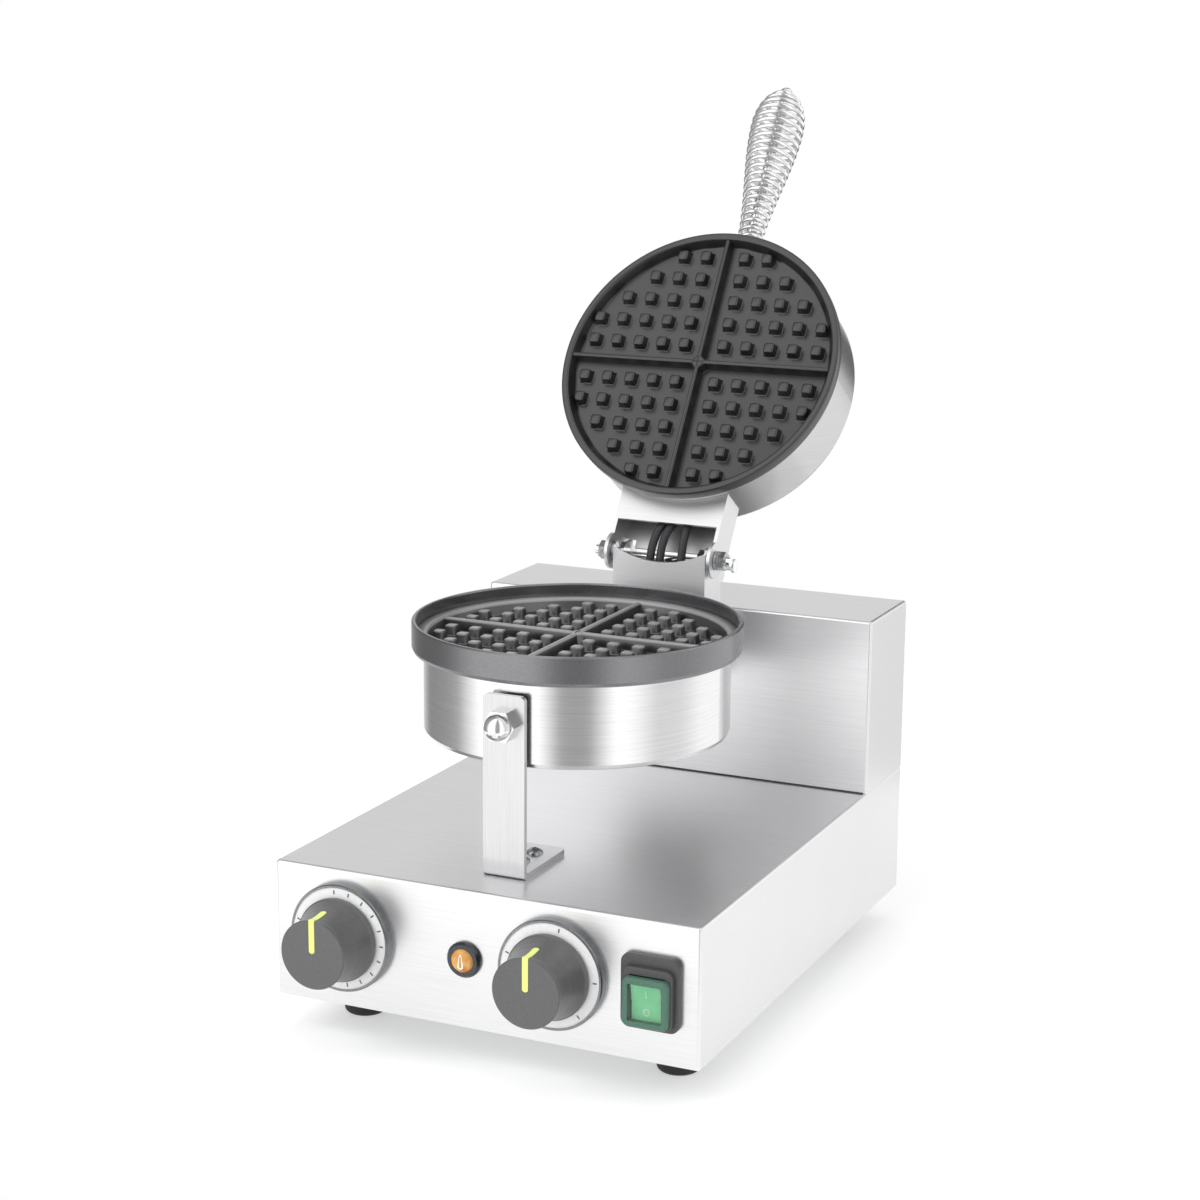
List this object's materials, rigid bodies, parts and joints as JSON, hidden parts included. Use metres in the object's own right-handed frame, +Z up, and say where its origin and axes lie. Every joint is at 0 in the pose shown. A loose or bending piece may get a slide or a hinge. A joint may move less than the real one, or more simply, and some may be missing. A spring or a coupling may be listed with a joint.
{
  "type": "waffle maker",
  "caption": "Counter-top waffle maker with a round deep-grid plate on a raised drum, a lift-up lid with a wire-coil handle, and timer and thermostat dials.",
  "frame": {"origin": "on the counter under the middle of the box round the machine with its lid open", "axes": "+Z up, +X right as seen from the front, +Y to the back"},
  "size_m": [0.253, 0.4712, 0.5101],
  "materials": {
    "brushed_stainless": "brushed stainless sheet",
    "plain_steel_sheet": "plain sheet",
    "zinc_fixings": "bright zinc",
    "polished_steel": "polished",
    "dark_cast_plate": "satin non-stick coating",
    "heater_sheath": "heat-dulled sheath",
    "insulation_felt": "felted fibre",
    "black_rubber": "matt",
    "white_dial": "satin white",
    "black_knob": "fine satin",
    "yellow_pointer": "satin",
    "black_moulding": "satin",
    "inner_moulding": "plain",
    "amber_lens": "clear amber",
    "green_cap": "clear flexible cover",
    "green_rocker": "translucent green"
  },
  "bodies": {
    "base": {"base_shell": "brushed_stainless", "bottom_cover": "plain_steel_sheet", "cable_gland": "black_moulding", "column_back_cover": "plain_steel_sheet", "column_fixings": "zinc_fixings", "column_grommet": "black_rubber", "column_shell": "brushed_stainless", "drum_conduit": "zinc_fixings", "foot_fixings": "zinc_fixings", "front_post": "brushed_stainless", "gland_locknut": "zinc_fixings", "hinge_base": "brushed_stainless", "hinge_base_fixings": "zinc_fixings", "hinge_bolts": "zinc_fixings", "hinge_leads": "black_rubber", "hinge_nuts": "zinc_fixings", "inside_wiring": "black_rubber", "lamp_bezel": "black_moulding", "lamp_body": "inner_moulding", "lamp_lens": "amber_lens", "lower_drum": "brushed_stainless", "lower_heater": "heater_sheath", "lower_insulation": "insulation_felt", "lower_plate": "dark_cast_plate", "lower_rim": "dark_cast_plate", "lower_stud": "zinc_fixings", "post_bolt": "zinc_fixings", "post_cap_nut": "polished_steel", "post_screws": "zinc_fixings", "rubber_feet": "black_rubber", "sensor_bulb": "heater_sheath", "stop_bar": "zinc_fixings", "switch_body": "inner_moulding", "switch_cap": "green_cap", "switch_frame": "black_moulding", "terminal_block": "inner_moulding", "thermostat_bezel": "polished_steel", "thermostat_dial_face": "white_dial", "thermostat_unit": "inner_moulding", "timer_bezel": "polished_steel", "timer_dial_face": "white_dial", "timer_unit": "inner_moulding"},
    "lid": {"handle_coil": "polished_steel", "handle_collar": "polished_steel", "handle_rod": "zinc_fixings", "lid_bracket": "brushed_stainless", "lid_bracket_screws": "zinc_fixings", "lid_drum": "brushed_stainless", "lid_grommet": "black_rubber", "lid_heater": "heater_sheath", "lid_insulation": "insulation_felt", "lid_plate": "dark_cast_plate", "lid_stud": "polished_steel"},
    "timer_control": {"timer_knob": "black_knob", "timer_pointer": "yellow_pointer", "timer_shaft": "zinc_fixings"},
    "thermostat_control": {"thermostat_knob": "black_knob", "thermostat_pointer": "yellow_pointer", "thermostat_shaft": "zinc_fixings"},
    "rocker": {"switch_rocker": "green_rocker"}
  },
  "joints": [
    {"name": "lid_hinge", "type": "hinge", "parent": "base", "child": "lid", "pos_m": [0, 0.03733, 0.2369], "axis": [1, 0, 0], "range_deg": [0, 123.3], "deforming": ["hinge_leads"]},
    {"name": "timer_turn", "type": "hinge", "parent": "base", "child": "timer_control", "pos_m": [-0.084, -0.21717, 0.0613], "axis": [0, 1, 0], "range_deg": [0, 300]},
    {"name": "thermostat_turn", "type": "hinge", "parent": "base", "child": "thermostat_control", "pos_m": [0.043, -0.21717, 0.0613], "axis": [0, 1, 0], "range_deg": [0, 290]},
    {"name": "rocker_press", "type": "hinge", "parent": "base", "child": "rocker", "pos_m": [0.0996, -0.20517, 0.0569], "axis": [-1, 0, 0], "range_deg": [0, 12]}
  ]
}
